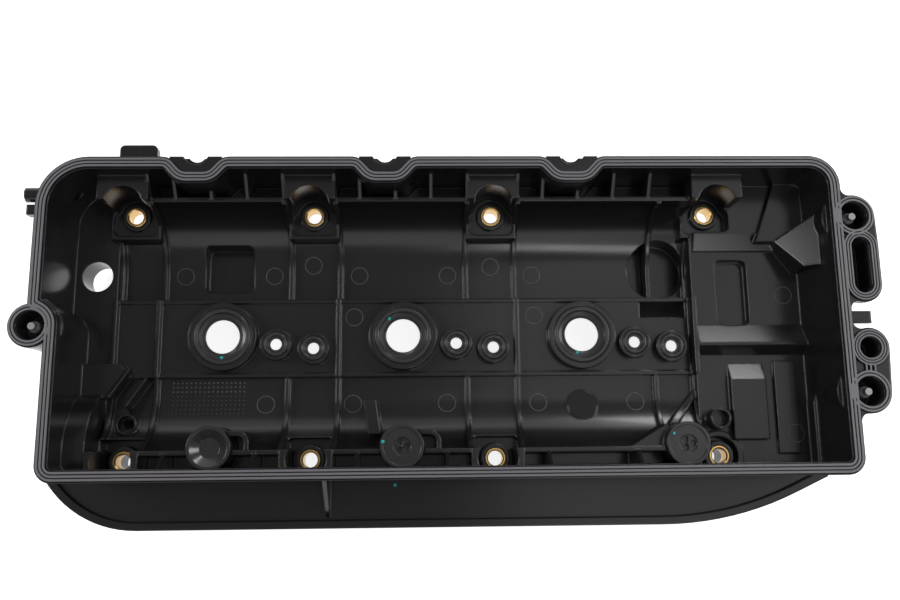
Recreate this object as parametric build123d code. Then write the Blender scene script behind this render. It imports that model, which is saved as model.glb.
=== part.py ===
from build123d import *
from math import asin, degrees
import os

# Valve cover of one cylinder bank, lying with its open side up. Lengths are in millimetres.
# While it is built, x runs along the bank, y points to the back of the cover, z = 0 is the
# sealing plane of the gasket, and the middle injector stands on x = 0, y = 0.

# Cylinder bank
cylinder_count = 3
cylinder_pitch = 98.0

# Flange outline, measured from the outer cylinders and from the injector row
left_overhang = 89.2
right_overhang = 132.8
back_reach = 88.9
front_reach = 77.0
back_left_corner = 26.0
back_right_corner = 16.0
front_left_corner = 9.0
front_right_corner = 9.0
flange_width = 6.5
flange_thickness = 5.0
left_step = 9.1
left_step_y = 7.2
left_step_run = 5.3
step_outer_corner = 4.0

# Dips of the back edge, where bolts of the neighbouring casting pass
dip_offset = -8.5
dip_width = 27.0
dip_floor_width = 13.0
dip_depth = 7.8
dip_outer_corner = 9.0
dip_inner_corner = 5.0
dip_pocket_radius = 6.8
dip_pocket_depth = 3.5
dip_bite_radius = 4.7
dip_bite_outside = 2.6

# Walls and floor
wall_thickness = 3.0
floor_thickness = 3.0
root_depth = 0.5
right_wall_lean = 4.5
rib_thickness = 2.4
rib_height = 3.5
gallery_rib_thickness = 1.8

# Camshaft troughs across the cover: axis place, clearance radius at the rib crests
back_cam_y = 35.0
back_cam_z = -18.0
back_cam_radius = 33.0
front_cam_y = -30.0
front_cam_z = -11.0
front_cam_radius = 32.5
band_back_y = 21.0
band_front_y = -22.0
band_z = -44.5
band_edge_rib_width = 2.2
band_edge_rib_height = 1.6

# Baffles between the troughs and the drain gutters along the long walls
baffle_thickness = 2.5
baffle_crest_z = -18.0
back_baffle_gap = 19.4
front_baffle_gap = 15.5
back_gutter_z = -34.0
front_gutter_z = -36.0
gallery_rib_top_z = -9.5

# Cross ribs, measured from each cylinder
main_rib_offset = -35.5
partner_rib_offset = 35.0
last_partner_rib_offset = 41.0
gallery_rib_offsets = (-36.0, -22.5, -3.5, 15.5, 35.0)
front_gallery_rib_offset = 23.0

# Ends of the camshaft bays
left_bay_offset = -59.0
right_bay_offset = 62.0
left_deck_z = -44.0
chest_z = -38.5
bay_wall_rise = 9.5

# Bolt columns and compression sleeves
back_bolt_gap = 22.4
front_bolt_gap = 10.5
last_bolt_offset = 71.0
sleeve_outer_radius = 5.5
sleeve_bore_radius = 3.9
sleeve_length = 9.5
sleeve_proud = 0.6
sleeve_chamfer = 0.6
boss_top_z = -37.5
boss_radius = 7.8
cell_half_width = 12.3
cell_depth = 12.5
cell_corner = 4.0
cell_wall = 1.3
cell_lip = 2.0
cell_floor_drop = 2.5
front_cell_floor_drop = 8.5
front_cell_corner = 2.5
front_cell_lip = 1.0
arch_radius = 10.3
back_block_top_z = -12.0
front_block_top_z = -17.0
tower_height = 12.5
bolt_head_well_radius = 6.4

# Injector passages and their seals
injector_boss_radius = 18.6
injector_boss_top_z = -38.5
injector_seat_radius = 15.6
injector_seat_ledge = 2.0
injector_collar_drop = 7.0
injector_seal_bore = 9.2
injector_seal_height = 5.0

# Small seals beside each injector: distance from the injector along x and y
small_seal_places = ((29.0, -4.4), (49.3, -6.7))
small_boss_radius = 8.6
small_seat_radius = 6.8
small_seat_ledge = 1.6
small_seal_bore = 3.1
small_seal_height = 4.0
seal_clearance = 0.1
seal_proud = 0.7

# Drains in the front gutter
drain_gap = 16.7
last_drain_offset = 49.0
drain_tube_radius = 11.2
drain_bore_radius = 8.0
drain_tube_top_z = -19.0
drain_cap_radius = 11.2
drain_cap_thickness = 3.0
drain_cap_gap = 0.3
drain_spigot_length = 4.0
drain_spigot_wall = 1.6
drain_spigot_clearance = 0.1
drain_eye_radius = 4.6
drain_web_thickness = 1.2
drain_lobe_radius = 1.55
drain_lobe_circle = 2.6
drain_stem_radius = 0.9
umbrella_radius = 5.4
umbrella_thickness = 0.9
plug_flat_radius = 5.2
plug_dish_depth = 3.4
drain_pocket_reach = 20.0
drain_pocket_depth = 9.7
drain_pocket_corner = 6.0

# Ears with captive bolts
left_ear_in = 2.2
left_ear_y = 0.6
right_ear_out = 5.5
right_ear_back_y = 56.0
right_ear_front_y = -35.7
ear_radius = 11.2
ear_recess_radius = 7.3
ear_recess_depth = 15.0
ear_depth = 23.0
ear_bulge_radius = 14.5
bolt_radius = 3.0
bolt_clearance = 0.4
bolt_tip_z = -2.6
bolt_tip_radius = 1.8
bolt_tip_length = 3.0
bolt_flange_radius = 6.6
bolt_flange_thickness = 1.6
bolt_head_across_flats = 8.0
bolt_head_height = 5.0
bolt_seat_gap = 0.3

# Ports through the right end of the flange
port_out = 7.5
slot_y = 29.6
slot_length = 29.0
slot_width = 9.4
port_y = -13.4
port_radius = 5.2
port_rim = 5.0
port_depth = 12.0
port_wall = 2.2
side_fillet = 4.0
side_strip_width = 10.0
clip_tab_y = 3.4
clip_tab_width = 6.4
clip_tab_reach = 13.2
clip_tab_z = -8.0

# Gasket
gasket_proud = 1.2
gasket_depth = 2.0
gasket_edge = 1.0
gasket_width = 4.7
gasket_ridge_count = 3
gasket_ridge_gap = 0.5
gasket_ridge_height = 0.8
ring_gap = 0.4
ear_ring_width = 2.8
ear_ring_ridges = 2
port_ring_width = 3.7
link_width = 0.9
link_overlap = 0.8
link_pitch = 2.2

# Side passage through the left deck
passage_from_edge = 18.6
passage_y = 34.5
passage_radius = 8.4
passage_wall = 2.8
passage_end_z = -61.0

# Pockets that bulge out of the back trough and carry the cover when it lies down
pocket_depth = 8.5
square_pocket_width = 27.0
square_pocket_length = 26.0
square_pocket_y = 40.3
square_pocket_corner = 3.0
round_pocket_offset = 46.5
round_pocket_y = 38.5
round_pocket_radius = 16.5
groove_offset = 46.5
groove_width = 25.0
groove_growth = 0.2

# Tray in front of the flange and the separator lid welded under it
tray_z = -48.0
tray_thickness = 3.0
tray_left_overhang = 12.7
tray_left_trim = 4.9
tray_reach = 25.4
tray_back_margin = 1.5
tray_left_corner = 59.2
tray_right_corner = 175.0
tray_right_bend_run = 53.1
tray_end_reach = 1.0
tray_rim_width = 4.2
tray_rim_height = 2.6
tray_gusset_offset = -40.5
tray_gusset_reach = 23.0
tray_gusset_height = 26.0
lid_flange_thickness = 3.0
lid_wall = 2.5
lid_tunnel_wall = 2.0

# Small outer fittings
tab_offset = -39.5
tab_width = 19.5
tab_reach = 8.0
tab_thickness = 5.0
tab_corner = 2.5
nipple_gap = 12.4
nipple_z = -28.0
nipple_reach = 16.3
nipple_radius = 4.1
nipple_bore = 2.4
lug_gap = 18.5
lug_reach = 14.8
lug_width = 5.6
lug_height = 6.0
lug_root = 8.0

# Chest at the right end, measured from the last bolt column, the right wall and the back wall
chest_channel_offset = 13.5
chest_channel_width = 17.5
chest_channel_length = 37.0
chest_channel_depth = 5.5
chest_ridge_back_y = 4.2
chest_ridge_crest_y = -5.8
chest_ridge_crest_width = 1.4
chest_ridge_front_y = -12.4
chest_ridge_height = 5.5
chest_slope_start_gap = 36.7
chest_slope_end_gap = 27.4
chest_slope_height = 6.0
chest_slope_step = 2.0
chest_corner_run = 30.0
chest_corner_back_run = 18.0
chest_corner_depth = 33.0
chest_corner_tip_run = 8.0
chest_corner_tip_depth = 49.0
chest_corner_height = 9.5
chest_facet_run = 20.0
chest_facet_back = 20.0
chest_facet_height = 15.0
chest_hump_offset = 17.5
chest_hump_width = 19.0
chest_hump_length = 41.0
chest_hump_slope = 9.0
chest_hump_gap = 4.6
chest_hump_height = 5.0
chest_panel_run = 22.5
chest_panel_width = 11.5
chest_panel_gap = 3.6
chest_panel_end = 5.0
chest_panel_height = 2.5
chest_pad_run = 4.8
chest_pad_length = 32.0
chest_pad_slant = 11.0
chest_pad_height = 8.5
tube_post_y = -47.0
tube_post_radius = 5.6
tube_post_wall = 1.3
tube_post_height = 9.0

# Details of the bay floors
button_y = -38.2
button_radius = 8.4
button_height = 1.2
blade_offset = -17.3
blade_width = 6.8
blade_skew = 2.7
blade_back_y = -36.0
blade_front_y = -53.7
blade_top_z = -27.0
web_thickness = 2.4
web_height = 4.0
web_start_y = -30.0
web_end_y = -53.5
brace_run = 20.5
brace_rise = 12.0
brace_top_z = -24.0

# Raised plate and diagonal ribs at the left end of the front trough
plate_back_y = -14.6
plate_front_y = -33.0
plate_tip_inside = 9.0
plate_nose = 3.4
plate_front_outside = 1.5
plate_z = -38.0
slant_rib_rise = 1.2
slant_rib_step = 9.5
slant_rib_width = 2.2

# Round hump between the left wall and the first front bolt, hollow from below
hump_y = -62.0
hump_z = -50.0
hump_radius = 33.0
hump_gap = 3.2
hump_clearance = 0.5

# Values worked out from the sizes above
middle = (cylinder_count - 1) / 2
cylinder_x = [cylinder_pitch * (index - middle) for index in range(cylinder_count)]
left_edge = cylinder_x[0] - left_overhang
right_edge = cylinder_x[-1] + right_overhang
bay_left = cylinder_x[0] + left_bay_offset
bay_right = cylinder_x[-1] + right_bay_offset
bolt_x = [x - cylinder_pitch / 2 for x in cylinder_x] + [cylinder_x[-1] + last_bolt_offset]
main_rib_x = [x + main_rib_offset for x in cylinder_x]
partner_rib_x = [x + partner_rib_offset for x in cylinder_x[:-1]]
partner_rib_x.append(cylinder_x[-1] + last_partner_rib_offset)
drain_x = cylinder_x[:-1] + [cylinder_x[-1] + last_drain_offset]
back_baffle_y = back_reach - back_baffle_gap
front_baffle_y = front_baffle_gap - front_reach
back_bolt_y = back_reach - back_bolt_gap
front_bolt_y = front_bolt_gap - front_reach
drain_y = drain_gap - front_reach
back_wall = back_reach - flange_width
front_wall = flange_width - front_reach
right_wall = right_edge - flange_width
flange_top = -gasket_proud
flange_bottom = flange_top - flange_thickness
groove_floor = flange_top - gasket_depth
tray_bottom = tray_z - tray_thickness
tray_front_y = -(front_reach + tray_reach)
tray_back_y = tray_front_y + tray_left_corner + tray_back_margin
skirt_front = front_wall - wall_thickness
sleeve_top = boss_top_z + sleeve_proud
sleeve_bottom = sleeve_top - sleeve_length
trough_floor = back_cam_z - back_cam_radius - rib_height
rest_z = trough_floor - pocket_depth - floor_thickness
sky = 20.0
wall_reach = 2 * (back_reach + front_reach)
left_ear = (left_edge + left_ear_in, left_ear_y)
step_inner_corner = left_step - left_ear_in
right_ears = [(right_edge + right_ear_out, y) for y in (right_ear_back_y, right_ear_front_y)]
ears = [left_ear] + right_ears
port_x = right_edge + port_out
port_floor = flange_bottom - port_depth
round_pocket = (cylinder_x[-1] + round_pocket_offset, round_pocket_y)
last_bolt_x = bolt_x[-1]
channel_place = Pos(last_bolt_x + chest_channel_offset, chest_ridge_back_y + chest_channel_length / 2)
channel_floor = chest_z - chest_channel_depth
drain_cap_top = drain_tube_top_z + drain_cap_thickness
nipple_place = (back_reach - nipple_gap, nipple_z)
front_floor = front_cam_z - front_cam_radius - rib_height
right_foot = right_wall - right_wall_lean
hump_right = bay_left - hump_gap


def block(x_low, x_high, y_low, y_high, z_low, z_high):
    """Upright box between two corners."""
    centre = Pos((x_low + x_high) / 2, (y_low + y_high) / 2, (z_low + z_high) / 2)
    return centre * Box(x_high - x_low, y_high - y_low, z_high - z_low)


def post(place, radius, z_low, z_high):
    """Upright round bar."""
    return Pos(place[0], place[1], (z_low + z_high) / 2) * Cylinder(radius, z_high - z_low)


def slab(outline, z_low, z_high):
    """Plate of a plan outline between two heights."""
    return extrude(Pos(0, 0, z_low) * outline, amount=z_high - z_low, dir=(0, 0, 1))


def across(section, x_low, x_high):
    """Bar along x of a cross-section drawn in y and z."""
    return extrude(Plane.YZ.offset(x_low) * section, amount=x_high - x_low, dir=(1, 0, 0))


def inset(outline, distance):
    """Outline moved inwards by a distance."""
    return offset(outline, amount=-distance)


def main_outline():
    """Outer edge of the flange that the gasket follows, with its back dips and its left step."""
    points = [(left_edge + left_step, -front_reach), (right_edge, -front_reach), (right_edge, back_reach)]
    radii = [front_left_corner, front_right_corner, back_right_corner]
    for x in reversed(cylinder_x):
        centre = x + dip_offset
        dip_floor = back_reach - dip_depth
        points += [(centre + dip_width / 2, back_reach), (centre + dip_floor_width / 2, dip_floor)]
        points += [(centre - dip_floor_width / 2, dip_floor), (centre - dip_width / 2, back_reach)]
        radii += [dip_outer_corner, dip_inner_corner, dip_inner_corner, dip_outer_corner]
    points += [(left_edge, back_reach), (left_edge, left_step_y + left_step_run / 2)]
    points.append((left_edge + left_step, left_step_y - left_step_run / 2))
    radii += [back_left_corner, step_outer_corner, step_inner_corner]
    return make_face(FilletPolyline(*points, radius=radii, close=True))


def slot_face(growth):
    """Plan of the slotted port, grown on all sides."""
    shape = SlotOverall(slot_length + 2 * growth, slot_width + 2 * growth, rotation=90)
    return Pos(port_x, slot_y) * shape


def disc(place, radius):
    """Plan circle."""
    return Pos(*place) * Circle(radius)


def side_outline():
    """Plan of the ears and port rims along the right edge, with rounded inner corners."""
    back_pair = disc(right_ears[0], ear_radius) + slot_face(port_rim)
    front_pair = disc(right_ears[1], ear_radius) + disc((port_x, port_y), port_radius + port_rim)
    length = right_ear_back_y - right_ear_front_y + 2 * ear_radius
    centre = Pos(right_edge - side_strip_width / 2, (right_ear_back_y + right_ear_front_y) / 2)
    plan = centre * Rectangle(side_strip_width, length + 2 * side_fillet)
    plan += make_hull(back_pair.edges())
    plan += make_hull(front_pair.edges())
    return offset(offset(plan, amount=side_fillet), amount=-side_fillet)


def flange_outline(outline):
    """Plan of the whole flange plate: main outline, pads behind the dips, ears and port rims."""
    plate = outline + disc(left_ear, ear_radius) + side_outline()
    for x in cylinder_x:
        pad = Rectangle(dip_width, dip_depth + wall_thickness)
        plate += Pos(x + dip_offset, back_reach - (dip_depth + wall_thickness) / 2) * pad
    for x in cylinder_x:
        plate -= disc((x + dip_offset, back_reach + dip_bite_outside), dip_bite_radius)
    return plate


def strip(y_low, y_high, z_low):
    """Upright strip of a cross-section, open at the top."""
    return Pos((y_low + y_high) / 2, (z_low + sky) / 2) * Rectangle(y_high - y_low, sky - z_low)


def trough(axis_y, axis_z, radius, band_y, baffle_y):
    """Space round a camshaft: flat towards the injector band, round towards the baffle."""
    flat = strip(min(axis_y, band_y), max(axis_y, band_y), axis_z - radius)
    side = strip(min(axis_y, baffle_y), max(axis_y, baffle_y), axis_z - radius)
    bowl = disc((axis_y, axis_z), radius) + strip(axis_y - radius, axis_y + radius, axis_z)
    return flat + (side & bowl)


def bay_section(drop, spread):
    """Free space over the bay floor, with the floor lowered by drop and the sides moved by spread."""
    back_radius = back_cam_radius + rib_height + drop
    front_radius = front_cam_radius + rib_height + drop
    space = trough(back_cam_y, back_cam_z, back_radius, band_back_y - spread, back_baffle_y + spread)
    space += trough(front_cam_y, front_cam_z, front_radius, band_front_y + spread, front_baffle_y - spread)
    space += strip(band_front_y - spread, band_back_y + spread, band_z - drop)
    space += strip(-wall_reach, wall_reach, baffle_crest_z)
    return space


def gutters(drop, spread):
    """Free space of the drain gutters behind the baffles."""
    space = strip(back_baffle_y + baffle_thickness - spread, wall_reach, back_gutter_z - drop)
    space += strip(-wall_reach, front_baffle_y - baffle_thickness + spread, front_gutter_z - drop)
    return space


def end_spaces(drop, spread):
    """Free space over the left deck and the right chest."""
    deck_section = strip(-wall_reach, wall_reach, left_deck_z - drop)
    chest_section = strip(-wall_reach, wall_reach, chest_z - drop)
    deck = across(deck_section, left_edge - flange_width, bay_left + spread)
    chest = across(chest_section, bay_right - spread, right_edge + flange_width)
    return deck + chest


def hollow(drop, spread):
    """All the free space inside the cover, before the side walls cut it off."""
    section = bay_section(drop, spread) + gutters(drop, spread)
    return across(section, bay_left - spread, bay_right + spread) + end_spaces(drop, spread)


def trough_ribs():
    """Cross ribs with round camshaft clearances, and the two walls that close the bays."""
    between = strip(front_baffle_y, back_baffle_y, rest_z)
    full = (bay_section(0, 0) - bay_section(-rib_height, 0)) & between
    no_band = full - strip(band_front_y, band_back_y, rest_z)
    half = rib_thickness / 2
    ribs = [across(full, x - half, x + half) for x in main_rib_x]
    ribs += [across(no_band, x - half, x + half) for x in partner_rib_x]
    raised_band = strip(band_front_y, band_back_y, rest_z)
    raised_band -= strip(band_front_y, band_back_y, band_z + bay_wall_rise)
    tall = full + raised_band - strip(-wall_reach, wall_reach, 0)
    ribs.append(across(full, bay_left - half, bay_left + half))
    ribs.append(across(tall, bay_right - half, bay_right + half))
    return ribs


def gallery_ribs():
    """Stiffeners across the back and front gutters."""
    half = gallery_rib_thickness / 2
    behind_crest = back_baffle_y + baffle_thickness / 2
    before_crest = front_baffle_y - baffle_thickness / 2
    back = Polygon((behind_crest, rest_z), (back_wall, rest_z), (back_wall, gallery_rib_top_z),
                   (behind_crest, baffle_crest_z), align=None)
    back &= strip(0, wall_reach, back_gutter_z - floor_thickness / 2)
    front = Polygon((before_crest, baffle_crest_z), (front_wall, gallery_rib_top_z), (front_wall, rest_z),
                    (before_crest, rest_z), align=None)
    front &= strip(-wall_reach, 0, front_gutter_z - floor_thickness / 2)
    ribs = []
    for x in cylinder_x:
        ribs += [across(back, x + step - half, x + step + half) for step in gallery_rib_offsets]
        for step in (-front_gallery_rib_offset, front_gallery_rib_offset):
            ribs.append(across(front, x + step - half, x + step + half))
    return ribs


def band_edges():
    """Low ribs along both edges of the injector band."""
    low = band_z - floor_thickness / 2
    high = band_z + band_edge_rib_height
    back = block(bay_left, bay_right, band_back_y - band_edge_rib_width, band_back_y, low, high)
    front = block(bay_left, bay_right, band_front_y, band_front_y + band_edge_rib_width, low, high)
    return [back, front]


def bolt_towers():
    """Blocks that carry the sleeves between the cross ribs and reach to the long walls."""
    low = boss_top_z - tower_height
    half = cell_half_width + cell_wall
    towers = []
    for x in bolt_x:
        towers.append(block(x - half, x + half, back_bolt_y - cell_depth, back_wall, low, boss_top_z))
        towers.append(block(x - half, x + half, back_baffle_y, back_wall, low, back_block_top_z))
    for x in bolt_x[:-1]:
        towers.append(block(x - half, x + half, front_wall, front_bolt_y + cell_depth, low, boss_top_z))
        towers.append(block(x - half, x + half, front_wall, front_baffle_y, low, front_block_top_z))
    towers.append(post((last_bolt_x, front_bolt_y), arch_radius + wall_thickness, low, boss_top_z))
    return towers


def cell_cut(place, plan, floor_z):
    """Room round a sleeve, with the ring that carries the sleeve left standing."""
    room = slab(plan + disc(place, arch_radius), floor_z, sky)
    return room - post(place, boss_radius, floor_z, boss_top_z)


def bolt_cells():
    """Room over the towers: a cell up to the baffle and an arch in the block behind it."""
    cells = []
    back_floor = boss_top_z - cell_floor_drop
    front_floor_z = boss_top_z - front_cell_floor_drop
    back_start = back_bolt_y - cell_depth + cell_lip
    front_start = front_bolt_y + cell_depth - front_cell_lip
    back_plan = RectangleRounded(2 * cell_half_width, back_baffle_y - back_start, cell_corner)
    front_plan = RectangleRounded(2 * cell_half_width, front_start - front_baffle_y, front_cell_corner)
    for x in bolt_x:
        plan = Pos(x, (back_start + back_baffle_y) / 2) * back_plan
        cells.append(cell_cut((x, back_bolt_y), plan, back_floor))
    for x in bolt_x[:-1]:
        plan = Pos(x, (front_start + front_baffle_y) / 2) * front_plan
        cells.append(cell_cut((x, front_bolt_y), plan, front_floor_z))
    cells.append(cell_cut((last_bolt_x, front_bolt_y), Sketch(), front_floor_z))
    return cells


def injector_bosses():
    """Raised rings round the injectors and the small passages, with collars outside."""
    bosses = []
    top = injector_boss_top_z
    band_bottom = band_z - floor_thickness
    for x in cylinder_x:
        bosses.append(post((x, 0), injector_boss_radius, band_bottom - injector_collar_drop, top))
        for step, y in small_seal_places:
            bosses.append(post((x + step, y), small_boss_radius, band_bottom, top))
    return bosses


def injector_bores():
    """Seats and through holes of the injector and small passages."""
    bores = []
    seat_floor = injector_boss_top_z - injector_seal_height
    for x in cylinder_x:
        bores.append(post((x, 0), injector_seat_radius, seat_floor, sky))
        bores.append(post((x, 0), injector_seat_radius - injector_seat_ledge, rest_z, seat_floor))
        for step, y in small_seal_places:
            place = (x + step, y)
            small_floor = injector_boss_top_z - small_seal_height
            bores.append(post(place, small_seat_radius, small_floor, sky))
            bores.append(post(place, small_seat_radius - small_seat_ledge, rest_z, small_floor))
    return bores


def drain_pocket(x, growth):
    """Plan of the pocket beside a drain tube, which the front baffle bends round."""
    width = drain_pocket_reach + 2 * growth
    length = drain_pocket_depth + drain_pocket_corner + 2 * growth
    centre = Pos(x + drain_pocket_reach / 2, front_baffle_y + (drain_pocket_depth - drain_pocket_corner) / 2)
    plan = centre * RectangleRounded(width, length, drain_pocket_corner + growth)
    inside = Pos(x, front_baffle_y + wall_reach / 2) * Rectangle(wall_reach, wall_reach)
    return plan & inside


def drain_tubes():
    """Upright tubes in the front gutter that carry the drain caps, and the walls of their pockets."""
    tubes = [post((x, drain_y), drain_tube_radius, tray_bottom, drain_tube_top_z) for x in drain_x]
    low = front_gutter_z - 2 * floor_thickness
    tubes += [slab(drain_pocket(x, 0), low, baffle_crest_z) for x in drain_x[:-1]]
    return tubes


def drain_cuts():
    """Bores of the drain tubes, the room for their caps in the front wall, and the pockets beside them."""
    cuts = []
    for x in drain_x:
        cuts.append(post((x, drain_y), drain_bore_radius, rest_z, sky))
        cuts.append(post((x, drain_y), drain_cap_radius + drain_cap_gap, drain_tube_top_z, sky))
    for x in drain_x[:-1]:
        pocket = slab(drain_pocket(x, -baffle_thickness), front_gutter_z, sky)
        cuts.append(pocket - post((x, drain_y), drain_tube_radius, rest_z, drain_tube_top_z))
    return cuts


def ear_cuts():
    """Recesses and bolt holes of the ears."""
    cuts = []
    for place in ears:
        cuts.append(post(place, ear_recess_radius, flange_top - ear_recess_depth, sky))
        cuts.append(post(place, bolt_radius + bolt_clearance, rest_z, sky))
    return cuts


def tray_outline():
    """Plan of the tray that stands out in front of the flange."""
    left = left_edge - tray_left_overhang
    bend = right_edge - tray_right_bend_run
    end = (right_edge, -(front_reach + tray_end_reach))
    line = FilletPolyline((left, tray_back_y), (left, tray_front_y), (bend, tray_front_y), end,
                          radius=[tray_left_corner, tray_right_corner])
    close = Polyline(line @ 1, (right_edge, tray_back_y), line @ 0)
    trim = Pos(left + tray_left_trim - wall_reach / 2, 0) * Rectangle(wall_reach, wall_reach)
    return make_face(line + close) - trim


def chest_forms():
    """Raised forms on the floor of the right chest."""
    low = chest_z - floor_thickness / 2
    left_wall = bay_right + rib_thickness / 2
    crest = chest_z + chest_ridge_height
    ridge = Polygon((chest_ridge_front_y, low), (chest_ridge_back_y, low), (chest_ridge_back_y, chest_z),
                    (chest_ridge_crest_y, crest), (chest_ridge_crest_y - chest_ridge_crest_width, crest),
                    (chest_ridge_front_y, chest_z), align=None)
    slope_top = chest_z + chest_slope_height
    slope_start = back_wall - chest_slope_start_gap
    slope = Polygon((slope_start, low), (back_wall, low), (back_wall, slope_top),
                    (back_wall - chest_slope_end_gap, slope_top),
                    (slope_start, chest_z + chest_slope_step), align=None)
    hump_back = chest_ridge_front_y - chest_hump_gap
    hump_front = hump_back - chest_hump_length
    hump_top = chest_z + chest_hump_height
    hump = Polygon((hump_front, low), (hump_back, low), (hump_back, chest_z),
                   (hump_back - chest_hump_slope, hump_top), (hump_front, hump_top), align=None)
    hump_x = last_bolt_x + chest_hump_offset
    panel_x = right_wall - chest_panel_run
    forms = [across(ridge, left_wall, right_wall), across(slope, left_wall, right_wall)]
    forms.append(across(hump, hump_x - chest_hump_width / 2, hump_x + chest_hump_width / 2))
    forms.append(block(panel_x, panel_x + chest_panel_width, front_wall + chest_panel_end,
                       chest_ridge_front_y - chest_panel_gap, low, chest_z + chest_panel_height))
    pad_back = front_wall + chest_pad_length
    pad_x = right_wall - chest_pad_run
    pad = Polygon((right_wall, front_wall), (right_wall, pad_back + chest_pad_slant), (pad_x, pad_back),
                  (pad_x, front_wall), align=None)
    forms.append(slab(pad, low, chest_z + chest_pad_height))
    return forms + chest_corner(low)


def chest_corner(low):
    """Stiffening block in the back right corner, with a facet that climbs the right wall."""
    tip = (right_wall - chest_corner_tip_run, back_wall - chest_corner_tip_depth)
    shoulder = (right_wall - chest_facet_run, back_wall - chest_corner_depth)
    plan = Polygon((right_wall, back_wall), (right_wall - chest_corner_back_run, back_wall),
                   (right_wall - chest_corner_run, back_wall - chest_corner_depth), shoulder, tip,
                   (right_wall, tip[1]), align=None)
    top = chest_z + chest_corner_height
    facet_end = (right_wall, back_wall - chest_facet_back)
    facet = Polygon(shoulder, tip, (right_wall, tip[1]), facet_end, align=None)
    rise = Polygon((shoulder[0], low), (right_wall, low), (right_wall, top + chest_facet_height),
                   (shoulder[0], top), align=None)
    climb = extrude(Plane.XZ * rise, amount=wall_reach, both=True)
    return [slab(plan, low, top), slab(facet, low, flange_bottom) & climb]


def tube_post(place, floor_z):
    """Blind tube standing on the floor."""
    top = floor_z + tube_post_height
    tube = post(place, tube_post_radius, floor_z - floor_thickness / 2, top)
    return tube - post(place, tube_post_radius - tube_post_wall, floor_z + wall_thickness, top)


def right_lean(low):
    """Inner part of the right wall, which leans inwards towards the chest floor."""
    section = Polygon((right_wall, flange_bottom), (right_edge, flange_bottom), (right_edge, low),
                      (right_foot, low), (right_foot, chest_z), align=None)
    return extrude(Plane.XZ * section, amount=wall_reach, both=True)


def right_relief():
    """Room outside the leaning right wall."""
    low = chest_z - floor_thickness
    section = Polygon((right_wall + wall_thickness, flange_bottom), (right_foot + wall_thickness, low),
                      (right_edge, low), (right_edge, flange_bottom), align=None)
    return extrude(Plane.XZ * section, amount=wall_reach, both=True)


def left_hump():
    """Round hump in the front left corner."""
    above = strip(-wall_reach, wall_reach, left_deck_z - floor_thickness / 2)
    return across(disc((hump_y, hump_z), hump_radius) & above, left_edge, hump_right)


def hump_hollow(room):
    """Hollow under the hump, which leaves walls on all its sides."""
    section = disc((hump_y, hump_z), hump_radius - wall_thickness)
    core = across(section, left_edge, hump_right - wall_thickness)
    floor_under = left_deck_z - floor_thickness - hump_clearance
    return core & slab(room, floor_under, flange_bottom)


def ridged(shape, start, width, count):
    """Plan strips of a gasket line round a shape that can be grown: its whole width and its ridges."""
    ridge = (width - (count - 1) * gasket_ridge_gap) / count
    lines = Sketch()
    for index in range(count):
        near = start + index * (ridge + gasket_ridge_gap)
        lines += shape(near + ridge) - shape(near)
    return shape(start + width) - shape(start), lines


def gasket_bands(outline):
    """Plan strips of the gasket with its rings round ears and ports: their whole width and their ridges."""
    port = (port_x, port_y)
    inner_edge = gasket_edge + gasket_width
    strips = [ridged(lambda growth: inset(outline, inner_edge - growth), 0, gasket_width, gasket_ridge_count)]
    for place in ears:
        strips.append(ridged(lambda growth: disc(place, ear_recess_radius + growth), ring_gap, ear_ring_width,
                             ear_ring_ridges))
    strips.append(ridged(slot_face, ring_gap, port_ring_width, gasket_ridge_count))
    strips.append(ridged(lambda growth: disc(port, port_radius + growth), ring_gap, port_ring_width,
                         gasket_ridge_count))
    whole = Sketch()
    ridges = Sketch()
    for strip_plan, strip_ridges in strips:
        whole += strip_plan
        ridges += strip_ridges
    link_back = port_y - port_radius - ring_gap - port_ring_width + link_overlap
    link_front = right_ear_front_y + ear_recess_radius + ring_gap + ear_ring_width - link_overlap
    link_x = (port_x + right_ears[1][0]) / 2
    bar = Rectangle(link_width, link_back - link_front)
    for step in (-link_pitch, 0, link_pitch):
        place = Pos(link_x + step, (link_back + link_front) / 2)
        whole += place * bar
        ridges += place * bar
    return whole, ridges


def cover_shell(outline):
    """The moulded cover."""
    wall_plan = inset(outline, flange_width - wall_thickness)
    room_plan = inset(outline, flange_width)
    plate = flange_outline(outline)
    body = hollow(floor_thickness, wall_thickness) & slab(wall_plan, rest_z, flange_top)
    body -= right_relief()
    body += slab(plate, flange_bottom, flange_top)
    for place in ears:
        body += post(place, ear_radius - bolt_clearance, flange_top - ear_depth, flange_bottom)
    body += slab(slot_face(port_wall), port_floor, flange_bottom)
    body += post((port_x, port_y), port_radius + port_wall, port_floor, flange_bottom)
    body += front_tray()
    body += outer_fittings()
    body += pocket_bulges()
    room = slab(room_plan, rest_z, sky)
    body -= hollow(0, 0) & room
    body -= pocket_spaces(rest_z + floor_thickness, 0) + [groove_bar(0)]
    inside = [pocket_rib()] + trough_ribs() + gallery_ribs() + band_edges() + chest_forms() + bolt_towers()
    inside += left_plate() + corner_webs() + [left_hump(), right_lean(chest_z - floor_thickness / 2)]
    inside += [post(place, ear_bulge_radius, flange_top - ear_depth, flange_bottom) for place in ears]
    body += [piece & slab(wall_plan, rest_z, flange_bottom) for piece in inside]
    body += injector_bosses() + drain_tubes() + floor_details()
    body -= [cell & room for cell in bolt_cells()] + [hump_hollow(room_plan)]
    return body - shell_cuts(outline)


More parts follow.
